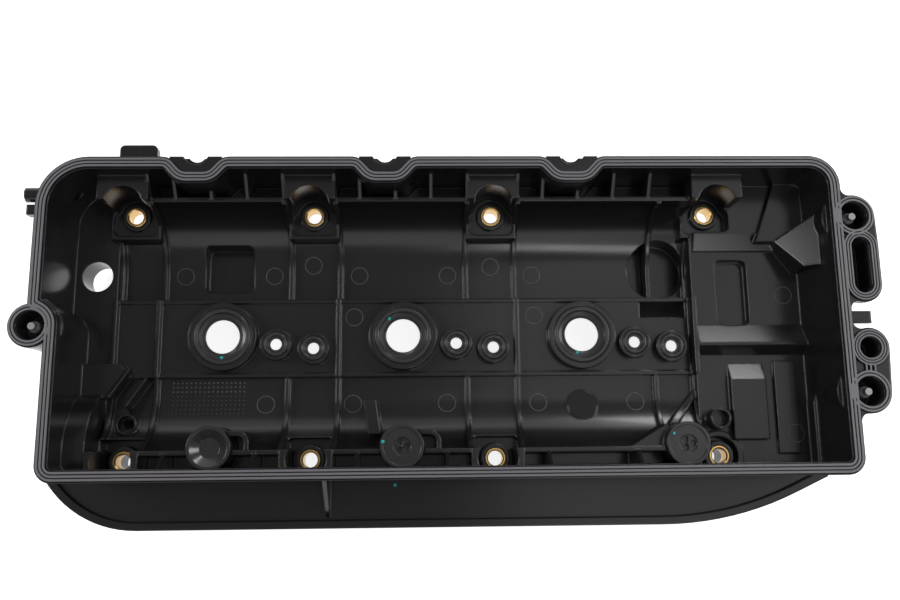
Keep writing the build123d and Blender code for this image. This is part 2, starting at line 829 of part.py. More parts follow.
def front_tray():
    """Tray, its rim, the skirt that carries it and its gusset."""
    outline = tray_outline()
    skirt_left = left_edge + left_step + front_left_corner
    skirt_right = right_edge - front_right_corner
    gusset_x = tray_gusset_offset
    root = skirt_front + wall_thickness / 2
    gusset_tip = skirt_front - tray_gusset_reach
    gusset = Polygon((root, tray_z), (root, tray_z + tray_gusset_height), (gusset_tip, tray_z), align=None)
    parts = [slab(outline, tray_bottom, tray_z)]
    parts.append(slab(outline - inset(outline, tray_rim_width), tray_bottom, tray_z + tray_rim_height))
    skirt_back = skirt_front + wall_thickness
    parts.append(block(skirt_left, skirt_right, skirt_front, skirt_back, tray_bottom, flange_bottom))
    parts.append(across(gusset, gusset_x - rib_thickness / 2, gusset_x + rib_thickness / 2))
    return parts


def outer_fittings():
    """Tab on the back edge, hose nipple and lug at the back left corner, and clip tab between the ports."""
    tab_x = cylinder_x[0] + tab_offset
    tab = Pos(tab_x, back_reach) * RectangleRounded(tab_width, 2 * tab_reach, tab_corner)
    nipple = across(disc(nipple_place, nipple_radius), left_edge - nipple_reach, left_edge + back_left_corner)
    lug_y = back_reach - lug_gap
    lug = block(left_edge - lug_reach, left_edge + lug_root, lug_y - lug_width, lug_y,
                nipple_z - lug_height / 2, nipple_z + lug_height / 2)
    clip_half = clip_tab_width / 2
    clip = block(right_wall + wall_thickness / 2, right_edge + clip_tab_reach, clip_tab_y - clip_half,
                 clip_tab_y + clip_half, clip_tab_z - wall_thickness, clip_tab_z)
    return [slab(tab, flange_bottom - tab_thickness, flange_bottom), nipple, lug, clip]


def pocket_spaces(low, growth):
    """Square and round pocket of the back trough, grown on all sides."""
    square = RectangleRounded(square_pocket_width + 2 * growth, square_pocket_length + 2 * growth,
                              square_pocket_corner + growth)
    spaces = [slab(Pos(cylinder_x[0], square_pocket_y) * square, low, band_z)]
    spaces.append(post(round_pocket, round_pocket_radius + growth, low, band_z))
    return spaces


def pocket_rib():
    """Lower part of the last cross rib, where it stands in the round pocket."""
    half = rib_thickness / 2
    x = partner_rib_x[-1]
    front = round_pocket_y - round_pocket_radius
    back = round_pocket_y + round_pocket_radius
    return block(x - half, x + half, front, back, rest_z + floor_thickness / 2, trough_floor + rib_height)


def groove_bar(growth):
    """Part of the back trough's round that runs on into the injector band beside the last pocket."""
    radius = back_cam_radius + rib_height + groove_growth + growth
    band_side = Pos(back_cam_y - wall_reach / 2, band_z - wall_reach / 2) * Rectangle(wall_reach, wall_reach)
    section = disc((back_cam_y, back_cam_z), radius) & band_side
    half = groove_width / 2 + growth
    x = cylinder_x[-1] + groove_offset
    return across(section, x - half, x + half)


def pocket_bulges():
    """Outer bulges of the pockets and the groove in the back trough, and the passage collar."""
    passage = (left_edge + passage_from_edge, passage_y)
    bulges = pocket_spaces(rest_z, wall_thickness)
    bulges.append(groove_bar(wall_thickness))
    deck_middle = left_deck_z - floor_thickness / 2
    bulges.append(post(passage, passage_radius + passage_wall, passage_end_z, deck_middle))
    channel = RectangleRounded(chest_channel_width + 2 * wall_thickness,
                               chest_channel_length + 2 * wall_thickness, cell_corner + wall_thickness)
    chest_middle = chest_z - floor_thickness / 2
    bulges.append(slab(channel_place * channel, channel_floor - floor_thickness, chest_middle))
    return bulges


def floor_details():
    """Tube posts, the round button and the blade on the bay floors."""
    low = front_floor - floor_thickness / 2
    half = blade_width / 2
    front_x = blade_offset + blade_skew
    blade = Polygon((blade_offset - half, blade_back_y), (front_x - half, blade_front_y),
                    (front_x + half, blade_front_y), (blade_offset + half, blade_back_y), align=None)
    radius = front_cam_radius + rib_height
    turn = asin((button_y - front_cam_y) / radius)
    disc_centre = -radius + (button_height - floor_thickness / 2) / 2
    button = Pos(cylinder_x[-1], front_cam_y, front_cam_z) * Rot(degrees(turn), 0, 0) * Pos(0, 0, disc_centre)
    button *= Cylinder(button_radius, button_height + floor_thickness / 2)
    posts = [tube_post((bolt_x[0], tube_post_y), front_floor), tube_post((last_bolt_x, tube_post_y), chest_z)]
    return posts + [slab(blade, low, blade_top_z), button]


def left_plate():
    """Raised plate at the left end of the front trough, with two slanting ribs."""
    low = front_floor - root_depth
    nose = (bay_left + plate_tip_inside, plate_back_y - plate_nose)
    foot = (bay_left - plate_front_outside, plate_front_y)
    plan = Polygon((left_edge, plate_back_y), (nose[0] - plate_nose, plate_back_y), nose, foot,
                   (left_edge, plate_front_y), align=None)
    pieces = [slab(plan, low, plate_z)]
    for step in (0, slant_rib_step):
        start = (nose[0] + step, nose[1] - step / 2)
        end = (foot[0] + step, foot[1] - step / 2)
        rib = Polygon(start, end, (end[0] + slant_rib_width, end[1]), (start[0] + slant_rib_width, start[1]),
                      align=None)
        pieces.append(slab(rib, low, plate_z + slant_rib_rise))
    return pieces


def corner_webs():
    """Slanting web and brace at the front of the last bay."""
    low = front_floor - floor_thickness / 2
    raised = bay_section(0, 0) - bay_section(-web_height, 0)
    rib_x = partner_rib_x[-1]
    web = Polygon((bay_right, web_start_y), (rib_x, web_end_y), (rib_x + 2 * web_thickness, web_end_y),
                  (bay_right, web_start_y - 2 * web_thickness), align=None)
    brace = Polygon((rib_x, front_baffle_y), (rib_x - brace_run, front_baffle_y),
                    (rib_x, front_baffle_y + brace_rise), align=None)
    bay = across(raised, rib_x, bay_right)
    return [slab(web, low, flange_bottom) & bay, slab(brace, low, brace_top_z)]


def shell_cuts(outline):
    """Everything that is cut out of the cover after its inner forms are in place."""
    cuts = injector_bores() + drain_cuts() + ear_cuts()
    cuts.append(post((left_edge + passage_from_edge, passage_y), passage_radius, rest_z, sky))
    channel = RectangleRounded(chest_channel_width, chest_channel_length, cell_corner)
    cuts.append(slab(channel_place * channel, channel_floor, sky))
    for x in bolt_x:
        for y in (back_bolt_y, front_bolt_y):
            cuts.append(post((x, y), sleeve_outer_radius, rest_z, sleeve_top))
            cuts.append(post((x, y), bolt_head_well_radius, rest_z, sleeve_bottom))
    for x in cylinder_x:
        pocket = (x + dip_offset, back_reach + dip_bite_outside)
        cuts.append(post(pocket, dip_pocket_radius, flange_top - dip_pocket_depth, sky))
    cuts.append(slab(slot_face(0), port_floor + port_wall, sky))
    cuts.append(post((port_x, port_y), port_radius, port_floor + port_wall, sky))
    band, ridges = gasket_bands(outline)
    cuts.append(slab(band, groove_floor, sky))
    nipple_start = left_edge - nipple_reach
    cuts.append(across(disc(nipple_place, nipple_bore), nipple_start, left_edge + back_left_corner))
    return cuts


def perimeter_gasket(outline):
    """Rubber gasket with its ridges and rings."""
    band, ridges = gasket_bands(outline)
    base_top = -gasket_ridge_height
    return slab(band, groove_floor, base_top) + slab(ridges, base_top, 0)


def separator_lid():
    """Closed box welded under the tray, with tunnels for the front bolts. The cover also rests on it."""
    outline = tray_outline()
    outer = inset(outline, tray_rim_width)
    room = inset(outline, tray_rim_width + lid_wall)
    body = slab(outline, tray_bottom - lid_flange_thickness, tray_bottom) + slab(outer, rest_z, tray_bottom)
    body -= slab(room, rest_z + lid_wall, tray_bottom)
    places = [(x, front_bolt_y) for x in bolt_x]
    body += [post(place, bolt_head_well_radius + lid_tunnel_wall, rest_z, tray_bottom) for place in places]
    return body - [post(place, bolt_head_well_radius, rest_z, tray_bottom) for place in places]


def turned(place, points):
    """Ring or disc turned about an upright axis from its half section."""
    face = make_face(Plane.XZ * Polyline(*points, close=True))
    return Pos(place[0], place[1], 0) * revolve(face, Axis.Z)


def injector_seal(place):
    """Rubber ring with a raised rim and an inward lip."""
    rim = injector_seat_radius - seal_clearance
    heel = injector_seat_radius - injector_seat_ledge - seal_clearance
    low = injector_boss_top_z - injector_seal_height
    top = injector_boss_top_z + seal_proud
    lip = low + injector_seal_height / 2
    web = injector_seal_bore + (heel - injector_seal_bore) / 3
    points = [(heel, low), (rim, low), (rim, injector_boss_top_z), (rim - seal_proud, top), (heel, top)]
    points += [(heel - seal_proud, injector_boss_top_z), (heel - seal_proud, lip + seal_proud)]
    points += [(web, lip), (injector_seal_bore, lip + seal_proud), (injector_seal_bore, lip - seal_proud)]
    points += [(web, lip - 2 * seal_proud), (heel - seal_proud, lip - 2 * seal_proud)]
    return turned(place, points)


def small_seal(place):
    """Rubber ring of a small passage, with a rounded rim and a short lip."""
    rim = small_seat_radius - seal_clearance
    heel = small_seat_radius - small_seat_ledge - seal_clearance
    low = injector_boss_top_z - small_seal_height
    top = injector_boss_top_z + seal_proud
    lip = low + small_seal_height / 2
    points = [(heel, low), (rim, low), (rim, injector_boss_top_z), (rim - seal_proud, top), (heel, top)]
    points += [(heel - seal_proud, injector_boss_top_z), (heel - seal_proud, lip + seal_proud)]
    points += [(small_seal_bore, lip + seal_proud), (small_seal_bore, lip - seal_proud)]
    points.append((heel, lip - seal_proud))
    return turned(place, points)


def sleeve(place):
    """Brass compression sleeve with chamfered ends."""
    mouth = sleeve_bore_radius + sleeve_chamfer
    rim = sleeve_outer_radius - sleeve_chamfer / 2
    points = [(sleeve_bore_radius, sleeve_bottom + sleeve_chamfer), (mouth, sleeve_bottom)]
    points += [(sleeve_outer_radius, sleeve_bottom), (sleeve_outer_radius, sleeve_top - sleeve_chamfer / 2)]
    points += [(rim, sleeve_top), (mouth, sleeve_top), (sleeve_bore_radius, sleeve_top - sleeve_chamfer)]
    return turned(place, points)


def ear_bolt(place):
    """Captive flanged hex bolt with a dog point, its head under the ear."""
    seat = flange_top - ear_depth - bolt_seat_gap
    neck = bolt_tip_z - bolt_tip_length
    cone = neck - (bolt_radius - bolt_tip_radius)
    points = [(0, seat - bolt_flange_thickness), (bolt_flange_radius, seat - bolt_flange_thickness)]
    points += [(bolt_flange_radius, seat - bolt_flange_thickness / 2), (bolt_radius, seat)]
    points += [(bolt_radius, cone), (bolt_tip_radius, neck), (bolt_tip_radius, bolt_tip_z), (0, bolt_tip_z)]
    hexagon = RegularPolygon(bolt_head_across_flats / 2, 6, major_radius=False)
    head_top = seat - bolt_flange_thickness
    head = slab(Pos(*place) * hexagon, head_top - bolt_head_height, head_top)
    return turned(place, points) + head


def drain_plug(place):
    """Dished plug that closes a drain tube."""
    spigot = drain_bore_radius - drain_spigot_clearance
    low = drain_tube_top_z - drain_spigot_length
    rim = drain_cap_radius - drain_spigot_wall
    dish = drain_cap_top - plug_dish_depth
    points = [(0, low), (spigot, low), (spigot, drain_tube_top_z), (drain_cap_radius, drain_tube_top_z)]
    points += [(drain_cap_radius, drain_cap_top), (rim, drain_cap_top), (plug_flat_radius, dish), (0, dish)]
    return turned(place, points)


def drain_cap(place):
    """Cap with a round eye, and under it a web with three lobes round the valve stem."""
    spigot = drain_bore_radius - drain_spigot_clearance
    inner = spigot - drain_spigot_wall
    low = drain_tube_top_z - drain_spigot_length
    web_top = drain_tube_top_z + drain_web_thickness
    rim = drain_cap_radius - drain_spigot_wall
    brim = drain_cap_top - drain_web_thickness / 2
    points = [(0, drain_tube_top_z), (inner, drain_tube_top_z), (inner, low), (spigot, low)]
    points += [(spigot, drain_tube_top_z), (drain_cap_radius, drain_tube_top_z)]
    points += [(drain_cap_radius, drain_cap_top), (rim, drain_cap_top), (rim, brim)]
    points += [(drain_eye_radius, brim), (drain_eye_radius, web_top), (0, web_top)]
    cap = turned(place, points)
    for turn in PolarLocations(drain_lobe_circle, 3):
        lobe = Pos(*place) * turn * Circle(drain_lobe_radius)
        cap -= slab(lobe, low, drain_cap_top)
    return cap - post(place, drain_stem_radius, low, drain_cap_top)


def umbrella_valve(place):
    """Rubber valve under the lobed web, held by its stem."""
    stem = drain_stem_radius - drain_spigot_clearance
    top = drain_tube_top_z + 2 * drain_web_thickness
    under = drain_tube_top_z - umbrella_thickness
    points = [(0, under), (umbrella_radius, under + umbrella_thickness / 2)]
    points += [(umbrella_radius, drain_tube_top_z), (stem, drain_tube_top_z), (stem, top), (0, top)]
    return turned(place, points)


def make_pieces():
    """All pieces by name, in the frame in which they are drawn."""
    outline = main_outline()
    pieces = {"cover_shell": cover_shell(outline), "perimeter_gasket": perimeter_gasket(outline)}
    pieces["separator_lid"] = separator_lid()
    small_places = [(x + step, y) for x in cylinder_x for step, y in small_seal_places]
    for number, x in enumerate(cylinder_x, 1):
        pieces[f"injector_seal_{number}"] = injector_seal((x, 0))
    for number, place in enumerate(small_places, 1):
        pieces[f"small_seal_{number}"] = small_seal(place)
    for number, x in enumerate(bolt_x, 1):
        pieces[f"back_sleeve_{number}"] = sleeve((x, back_bolt_y))
        pieces[f"front_sleeve_{number}"] = sleeve((x, front_bolt_y))
    for name, place in zip(("left", "back", "front"), ears):
        pieces[f"{name}_ear_bolt"] = ear_bolt(place)
    pieces["drain_plug"] = drain_plug((drain_x[0], drain_y))
    for number, x in enumerate(drain_x[1:], 1):
        pieces[f"drain_cap_{number}"] = drain_cap((x, drain_y))
        pieces[f"umbrella_valve_{number}"] = umbrella_valve((x, drain_y))
    return pieces


def write_pieces(pieces):
    """Move the pieces so that the middle of their common base is the origin, and write them."""
    box = Compound(children=[Compound(piece.solids()) for piece in pieces.values()]).bounding_box()
    shift = Pos(-(box.min.X + box.max.X) / 2, -(box.min.Y + box.max.Y) / 2, -box.min.Z)
    print("origin moved by", shift.position)
    os.makedirs("parts", exist_ok=True)
    for name, piece in pieces.items():
        export_step(shift * Compound(piece.solids()), f"parts/{name}.step")


write_pieces(make_pieces())
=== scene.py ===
"""Looks of the engine valve cover: finishes, mould marks, paint dots, floor, light and camera."""
import logging
import math
from dataclasses import dataclass
from enum import Enum
from typing import Sequence

import bmesh
import bpy
from mathutils import Euler, Matrix, Vector
from mathutils.bvhtree import BVHTree


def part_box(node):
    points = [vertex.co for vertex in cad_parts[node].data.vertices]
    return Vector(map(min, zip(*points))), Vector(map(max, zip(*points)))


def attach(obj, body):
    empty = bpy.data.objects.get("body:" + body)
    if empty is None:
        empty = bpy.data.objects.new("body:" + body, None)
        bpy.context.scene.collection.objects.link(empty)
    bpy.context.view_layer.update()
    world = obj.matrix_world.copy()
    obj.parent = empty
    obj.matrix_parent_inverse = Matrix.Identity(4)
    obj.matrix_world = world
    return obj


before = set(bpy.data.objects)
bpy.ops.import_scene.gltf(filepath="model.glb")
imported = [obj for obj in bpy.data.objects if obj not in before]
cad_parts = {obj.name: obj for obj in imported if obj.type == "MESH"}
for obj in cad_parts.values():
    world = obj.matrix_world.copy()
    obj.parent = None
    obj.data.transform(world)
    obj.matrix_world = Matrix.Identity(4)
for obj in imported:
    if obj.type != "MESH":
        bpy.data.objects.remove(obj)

LOG = logging.getLogger("valve_cover")
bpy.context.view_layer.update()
MM = 0.001
COVER_BODY = "cover"
SHADER = "Principled BSDF"
WHITE = (1.0, 1.0, 1.0, 1.0)
DOWN = Vector((0.0, 0.0, -1.0))

Colour = tuple[float, float, float]
Place = tuple[float, float, float]
Spot = tuple[float, float]
Value = bpy.types.NodeSocket | float
FormPart = bmesh.types.BMVert | bmesh.types.BMEdge | bmesh.types.BMFace


class Side(Enum):
    """Where a lamp panel stands, as seen from the middle of the cover, as a bearing in degrees from +X."""

    RIGHT = 10.0
    BACK_RIGHT = 63.0
    BACK = 95.0
    LEFT = 170.0
    FRONT = 265.0
    FRONT_RIGHT = 295.0


class Socket(Enum):
    """Kinds of sockets of a shader node group."""

    NUMBER = "NodeSocketFloat"
    VECTOR = "NodeSocketVector"
    COLOUR = "NodeSocketColor"


def engine_origin() -> Vector:
    """Find the middle injector on the sealing plane of the gasket.

    Returns:
        That point in the row frame, in metres.
    """
    low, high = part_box("injector_seal_2")
    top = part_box("perimeter_gasket")[1][2]
    return Vector(((low[0] + high[0]) / 2, (low[1] + high[1]) / 2, top))


ORIGIN = engine_origin()


def engine_point(place: Place) -> Vector:
    """Turn a place in millimetres from the middle injector into the row frame.

    Args:
        place: x along the bank, y to the back, z from the sealing plane.

    Returns:
        The same place in metres.
    """
    return ORIGIN + Vector(place) * MM


def new_object(name: str, data: bpy.types.ID) -> bpy.types.Object:
    """Make an object and put it into the scene.

    Args:
        name: name of the object.
        data: its mesh, lamp or camera.

    Returns:
        The object.
    """
    made = bpy.data.objects.new(name, data)
    bpy.context.scene.collection.objects.link(made)
    return made


def new_material(name: str, colour: Colour, roughness: float) -> bpy.types.Material:
    """Make a plain material.

    Args:
        name: name of the material.
        colour: base colour.
        roughness: roughness of the surface.

    Returns:
        The material.
    """
    mat = bpy.data.materials.new(name)
    mat.use_nodes = True
    shader = mat.node_tree.nodes[SHADER]
    shader.inputs["Base Color"].default_value = (*colour, 1.0)
    shader.inputs["Roughness"].default_value = roughness
    return mat


def finished_mesh(name: str, form: bmesh.types.BMesh, material: bpy.types.Material) -> bpy.types.Mesh:
    """Turn a form into a mesh of one material.

    Args:
        name: name of the mesh.
        form: the form, which is freed.
        material: finish of the mesh.

    Returns:
        The mesh.
    """
    mesh = bpy.data.meshes.new(name)
    form.to_mesh(mesh)
    form.free()
    mesh.materials.append(material)
    return mesh


def lift(form: bmesh.types.BMesh, parts: Sequence[FormPart], height: float) -> None:
    """Move what an extrusion made straight up.

    Args:
        form: form that was extruded.
        parts: new corners, edges and faces, of which the corners are moved.
        height: way up, in metres.
    """
    corners = [part for part in parts if isinstance(part, bmesh.types.BMVert)]
    bmesh.ops.translate(form, verts=corners, vec=(0.0, 0.0, height))


def search_tree(name: str) -> BVHTree:
    """Make a tree that finds the surfaces of a CAD node."""
    return BVHTree.FromObject(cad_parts[name], bpy.context.evaluated_depsgraph_get())


def new_group(name: str, inputs: dict[str, Socket],
              outputs: dict[str, Socket]) -> tuple[bpy.types.NodeTree, bpy.types.Node, bpy.types.Node]:
    """Make an empty shader node group with named sockets.

    Args:
        name: name of the group.
        inputs: name and kind of each input.
        outputs: name and kind of each output.

    Returns:
        The group and its input and output nodes.
    """
    tree = bpy.data.node_groups.new(name, "ShaderNodeTree")
    for label, kind in inputs.items():
        tree.interface.new_socket(label, in_out="INPUT", socket_type=kind.value)
    for label, kind in outputs.items():
        tree.interface.new_socket(label, in_out="OUTPUT", socket_type=kind.value)
    return tree, tree.nodes.new("NodeGroupInput"), tree.nodes.new("NodeGroupOutput")


def group_node(tree: bpy.types.NodeTree, group: bpy.types.NodeTree,
               values: dict[str, float | tuple[float, ...]]) -> bpy.types.Node:
    """Add a node group that works on Object coordinates.

    Args:
        tree: node tree that gets the node.
        group: group with an input named Vector.
        values: values of the inputs that stay fixed.

    Returns:
        The group's node.
    """
    node = tree.nodes.new("ShaderNodeGroup")
    node.node_tree = group
    for label, value in values.items():
        node.inputs[label].default_value = value
    coords = tree.nodes.new("ShaderNodeTexCoord")
    tree.links.new(coords.outputs["Object"], node.inputs["Vector"])
    return node


def math_node(tree: bpy.types.NodeTree, operation: str, *values: Value) -> bpy.types.NodeSocket:
    """Add a Math node whose inputs are sockets or numbers.

    Args:
        tree: node tree that gets the node.
        operation: name of the operation.
        values: sockets or numbers, in the order of the node's inputs.

    Returns:
        The node's output socket.
    """
    node = tree.nodes.new("ShaderNodeMath")
    node.operation = operation
    for socket, value in zip(node.inputs, values):
        if isinstance(value, bpy.types.NodeSocket):
            tree.links.new(value, socket)
        else:
            socket.default_value = value
    return node.outputs[0]


def blend_node(tree: bpy.types.NodeTree, share: bpy.types.NodeSocket, first: bpy.types.NodeSocket,
               second: bpy.types.NodeSocket) -> bpy.types.NodeSocket:
    """Add a Mix node for two colours.

    Args:
        tree: node tree that gets the node.
        share: share of the second colour, from 0 to 1.
        first: colour at 0.
        second: colour at 1.

    Returns:
        The blended colour.
    """
    node = tree.nodes.new("ShaderNodeMix")
    node.data_type = "RGBA"
    ends = [socket for socket in node.inputs if socket.type == "RGBA"]
    tree.links.new(share, node.inputs[0])
    tree.links.new(first, ends[0])
    tree.links.new(second, ends[1])
    return next(socket for socket in node.outputs if socket.type == "RGBA")


@dataclass(frozen=True)
class MouldingGrain:
    """Grain that all moulded surfaces share: a fine grain and an uneven gloss."""

    fine_detail: float = 2.0
    gloss_scale: float = 22.0
    gloss_detail: float = 3.0
    gloss_middle: float = 0.5

    def group(self) -> bpy.types.NodeTree:
        """Build the grain as a group.

        Returns:
            A group with the inputs Vector, Grain Scale, Roughness and Spread and the outputs Roughness
            and Height.
        """
        tree, start, end = new_group(
            "moulding_grain",
            {"Vector": Socket.VECTOR, "Grain Scale": Socket.NUMBER, "Roughness": Socket.NUMBER,
             "Spread": Socket.NUMBER},
            {"Roughness": Socket.NUMBER, "Height": Socket.NUMBER})
        fine = tree.nodes.new("ShaderNodeTexNoise")
        tree.links.new(start.outputs["Vector"], fine.inputs["Vector"])
        tree.links.new(start.outputs["Grain Scale"], fine.inputs["Scale"])
        fine.inputs["Detail"].default_value = self.fine_detail
        gloss = tree.nodes.new("ShaderNodeTexNoise")
        tree.links.new(start.outputs["Vector"], gloss.inputs["Vector"])
        gloss.inputs["Scale"].default_value = self.gloss_scale
        gloss.inputs["Detail"].default_value = self.gloss_detail
        centred = math_node(tree, "SUBTRACT", gloss.outputs["Fac"], self.gloss_middle)
        swing = math_node(tree, "MULTIPLY", centred, start.outputs["Spread"])
        tree.links.new(math_node(tree, "ADD", start.outputs["Roughness"], swing), end.inputs["Roughness"])
        tree.links.new(fine.outputs["Fac"], end.inputs["Height"])
        return tree


@dataclass(frozen=True)
class MouldedFinish:
    """Plastic or rubber with a fine grain and softly broken edges, with lengths in metres."""

    name: str
    colour: Colour
    roughness: float
    spread: float = 0.12
    specular: float = 0.5
    grain_scale: float = 900.0
    grain_height: float = 0.00002
    edge_radius: float = 0.0006
    edge_samples: int = 6

    def material(self, grain: bpy.types.NodeTree) -> bpy.types.Material:
        """Build the finish as a material.

        Args:
            grain: the shared grain group.

        Returns:
            The material.
        """
        mat = new_material(self.name, self.colour, self.roughness)
        tree = mat.node_tree
        shader = tree.nodes[SHADER]
        shader.inputs["Specular IOR Level"].default_value = self.specular
        effect = group_node(tree, grain, {"Grain Scale": self.grain_scale, "Roughness": self.roughness,
                                          "Spread": self.spread})
        tree.links.new(effect.outputs["Roughness"], shader.inputs["Roughness"])
        edge = tree.nodes.new("ShaderNodeBevel")
        edge.samples = self.edge_samples
        edge.inputs["Radius"].default_value = self.edge_radius
        bump = tree.nodes.new("ShaderNodeBump")
        bump.inputs["Distance"].default_value = self.grain_height
        tree.links.new(effect.outputs["Height"], bump.inputs["Height"])
        tree.links.new(edge.outputs["Normal"], bump.inputs["Normal"])
        tree.links.new(bump.outputs["Normal"], shader.inputs["Normal"])
        return mat


@dataclass(frozen=True)
class MetalFinish:
    """Turned or coated metal."""

    name: str
    colour: Colour
    roughness: float
    metallic: float = 1.0

    def material(self) -> bpy.types.Material:
        """Build the finish as a material.

        Returns:
            The material.
        """
        mat = new_material(self.name, self.colour, self.roughness)
        mat.node_tree.nodes[SHADER].inputs["Metallic"].default_value = self.metallic
        return mat


@dataclass(frozen=True)
class PaintFinish:
    """Opaque paint."""

    name: str
    colour: Colour
    roughness: float

    def material(self) -> bpy.types.Material:
        """Build the finish as a material."""
        return new_material(self.name, self.colour, self.roughness)


@dataclass(frozen=True)
class RidgeShade:
    """Painted shade on the rim gasket: the base colour darkens in the grooves and on the sloping sides of the
    ridges, so that the crests look rounded, with the height in millimetres.
    """

    # Painted shade colour for the grooves and the sloping sides of the ridges.
    groove_shade: Colour = (0.010, 0.010, 0.011)
    height: float = 0.8
    slope_shade_from: float = 0.72

    def group(self) -> bpy.types.NodeTree:
        """Build the shade as a group.

        Returns:
            A group with the inputs Vector, Normal, Crest and Groove Shade and the output Color.
        """
        tree, start, end = new_group(
            "ridge_shade",
            {"Vector": Socket.VECTOR, "Normal": Socket.VECTOR, "Crest": Socket.COLOUR,
             "Groove Shade": Socket.COLOUR},
            {"Color": Socket.COLOUR})
        place = tree.nodes.new("ShaderNodeSeparateXYZ")
        tree.links.new(start.outputs["Vector"], place.inputs[0])
        slope = tree.nodes.new("ShaderNodeSeparateXYZ")
        tree.links.new(start.outputs["Normal"], slope.inputs[0])
        # Painted shade: low points, and places whose bevelled normal tilts away from up, take the groove
        # shade colour.
        above = math_node(tree, "SUBTRACT", place.outputs["Z"], ORIGIN.z - self.height * MM)
        raised = math_node(tree, "DIVIDE", above, self.height * MM)
        upward = math_node(tree, "SUBTRACT", slope.outputs["Z"], self.slope_shade_from)
        level = math_node(tree, "DIVIDE", upward, 1.0 - self.slope_shade_from)
        share = math_node(tree, "MAXIMUM", math_node(tree, "MINIMUM", raised, level), 0.0)
        blend = blend_node(tree, share, start.outputs["Groove Shade"], start.outputs["Crest"])
        tree.links.new(blend, end.inputs["Color"])
        return tree

    def shade(self, mat: bpy.types.Material, crest: Colour) -> None:
        """Paint the shade into the base colour of a material.

        Args:
            mat: material of the gasket.
            crest: colour on top of the ridges.
        """
        tree = mat.node_tree
        effect = group_node(tree, self.group(), {"Crest": (*crest, 1.0), "Groove Shade": (*self.groove_shade, 1.0)})
        tree.links.new(tree.nodes["Bevel"].outputs["Normal"], effect.inputs["Normal"])
        tree.links.new(effect.outputs["Color"], tree.nodes[SHADER].inputs["Base Color"])


def dress(names: Sequence[str], material: bpy.types.Material) -> None:
    """Give CAD nodes one material.

    Args:
        names: node names.
        material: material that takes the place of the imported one.
    """
    for name in names:
        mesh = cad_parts[name].data
        mesh.materials.clear()
        mesh.materials.append(material)
        LOG.info("dressed %s with %s", name, material.name)


def nodes_like(*starts: str) -> list[str]:
    """List the CAD nodes whose names start with one of the given words."""
    return sorted(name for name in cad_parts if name.startswith(starts))


@dataclass
class Mouldings:
    """Black plastic pieces: the cover shell, the separator lid and the drain caps."""

    shell: MouldedFinish = MouldedFinish("black_moulding", (0.0115, 0.0113, 0.0125), 0.20, edge_radius=0.0013)
    lid: MouldedFinish = MouldedFinish("lid_moulding", (0.0115, 0.0113, 0.0125), 0.26)
    caps: MouldedFinish = MouldedFinish("cap_moulding", (0.025, 0.025, 0.027), 0.22)

    def dress(self, grain: bpy.types.NodeTree) -> None:
        """Dress the plastic nodes.

        Args:
            grain: the shared grain group.
        """
        dress(["cover_shell"], self.shell.material(grain))
        dress(["separator_lid"], self.lid.material(grain))
        dress(nodes_like("drain_"), self.caps.material(grain))


@dataclass
class Rubbers:
    """Rim gasket, injector seals, small seals and umbrella valves."""

    gasket: MouldedFinish = MouldedFinish("grey_gasket", (0.150, 0.143, 0.156), 0.34, edge_radius=0.0004)
    seals: MouldedFinish = MouldedFinish("black_seal", (0.030, 0.030, 0.032), 0.24, edge_radius=0.0009)
    gasket_shade: RidgeShade = RidgeShade()

    def dress(self, grain: bpy.types.NodeTree) -> None:
        """Dress the rubber nodes.

        Args:
            grain: the shared grain group.
        """
        gasket = self.gasket.material(grain)
        # Paints shade into the gasket's base colour, in the grooves and on the sloping sides of the ridges.
        self.gasket_shade.shade(gasket, self.gasket.colour)
        dress(["perimeter_gasket"], gasket)
        dress(nodes_like("injector_seal", "small_seal", "umbrella"), self.seals.material(grain))


@dataclass
class Metals:
    """Brass sleeves and captive bolts."""

    brass: MetalFinish = MetalFinish("turned_brass", (0.80, 0.52, 0.20), 0.25)
    bolts: MetalFinish = MetalFinish("dark_bolt", (0.32, 0.32, 0.33), 0.30, metallic=0.35)

    def dress(self) -> None:
        """Dress the metal nodes."""
        dress(nodes_like("back_sleeve", "front_sleeve"), self.brass.material())
        dress(nodes_like("left_ear", "back_ear", "front_ear"), self.bolts.material())


def add_piece(name: str, form: bmesh.types.BMesh, material: bpy.types.Material) -> bpy.types.Object:
    """Turn a finished form into a piece of the scene that rides on the cover.

    Args:
        name: name of the piece.
        form: form in the row frame, which is freed.
        material: finish of the piece.

    Returns:
        The piece.
    """
    mesh = finished_mesh(name, form, material)
    piece = new_object(name, mesh)
    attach(piece, COVER_BODY)
    LOG.info("built %s with %d faces", name, len(mesh.polygons))
    return piece


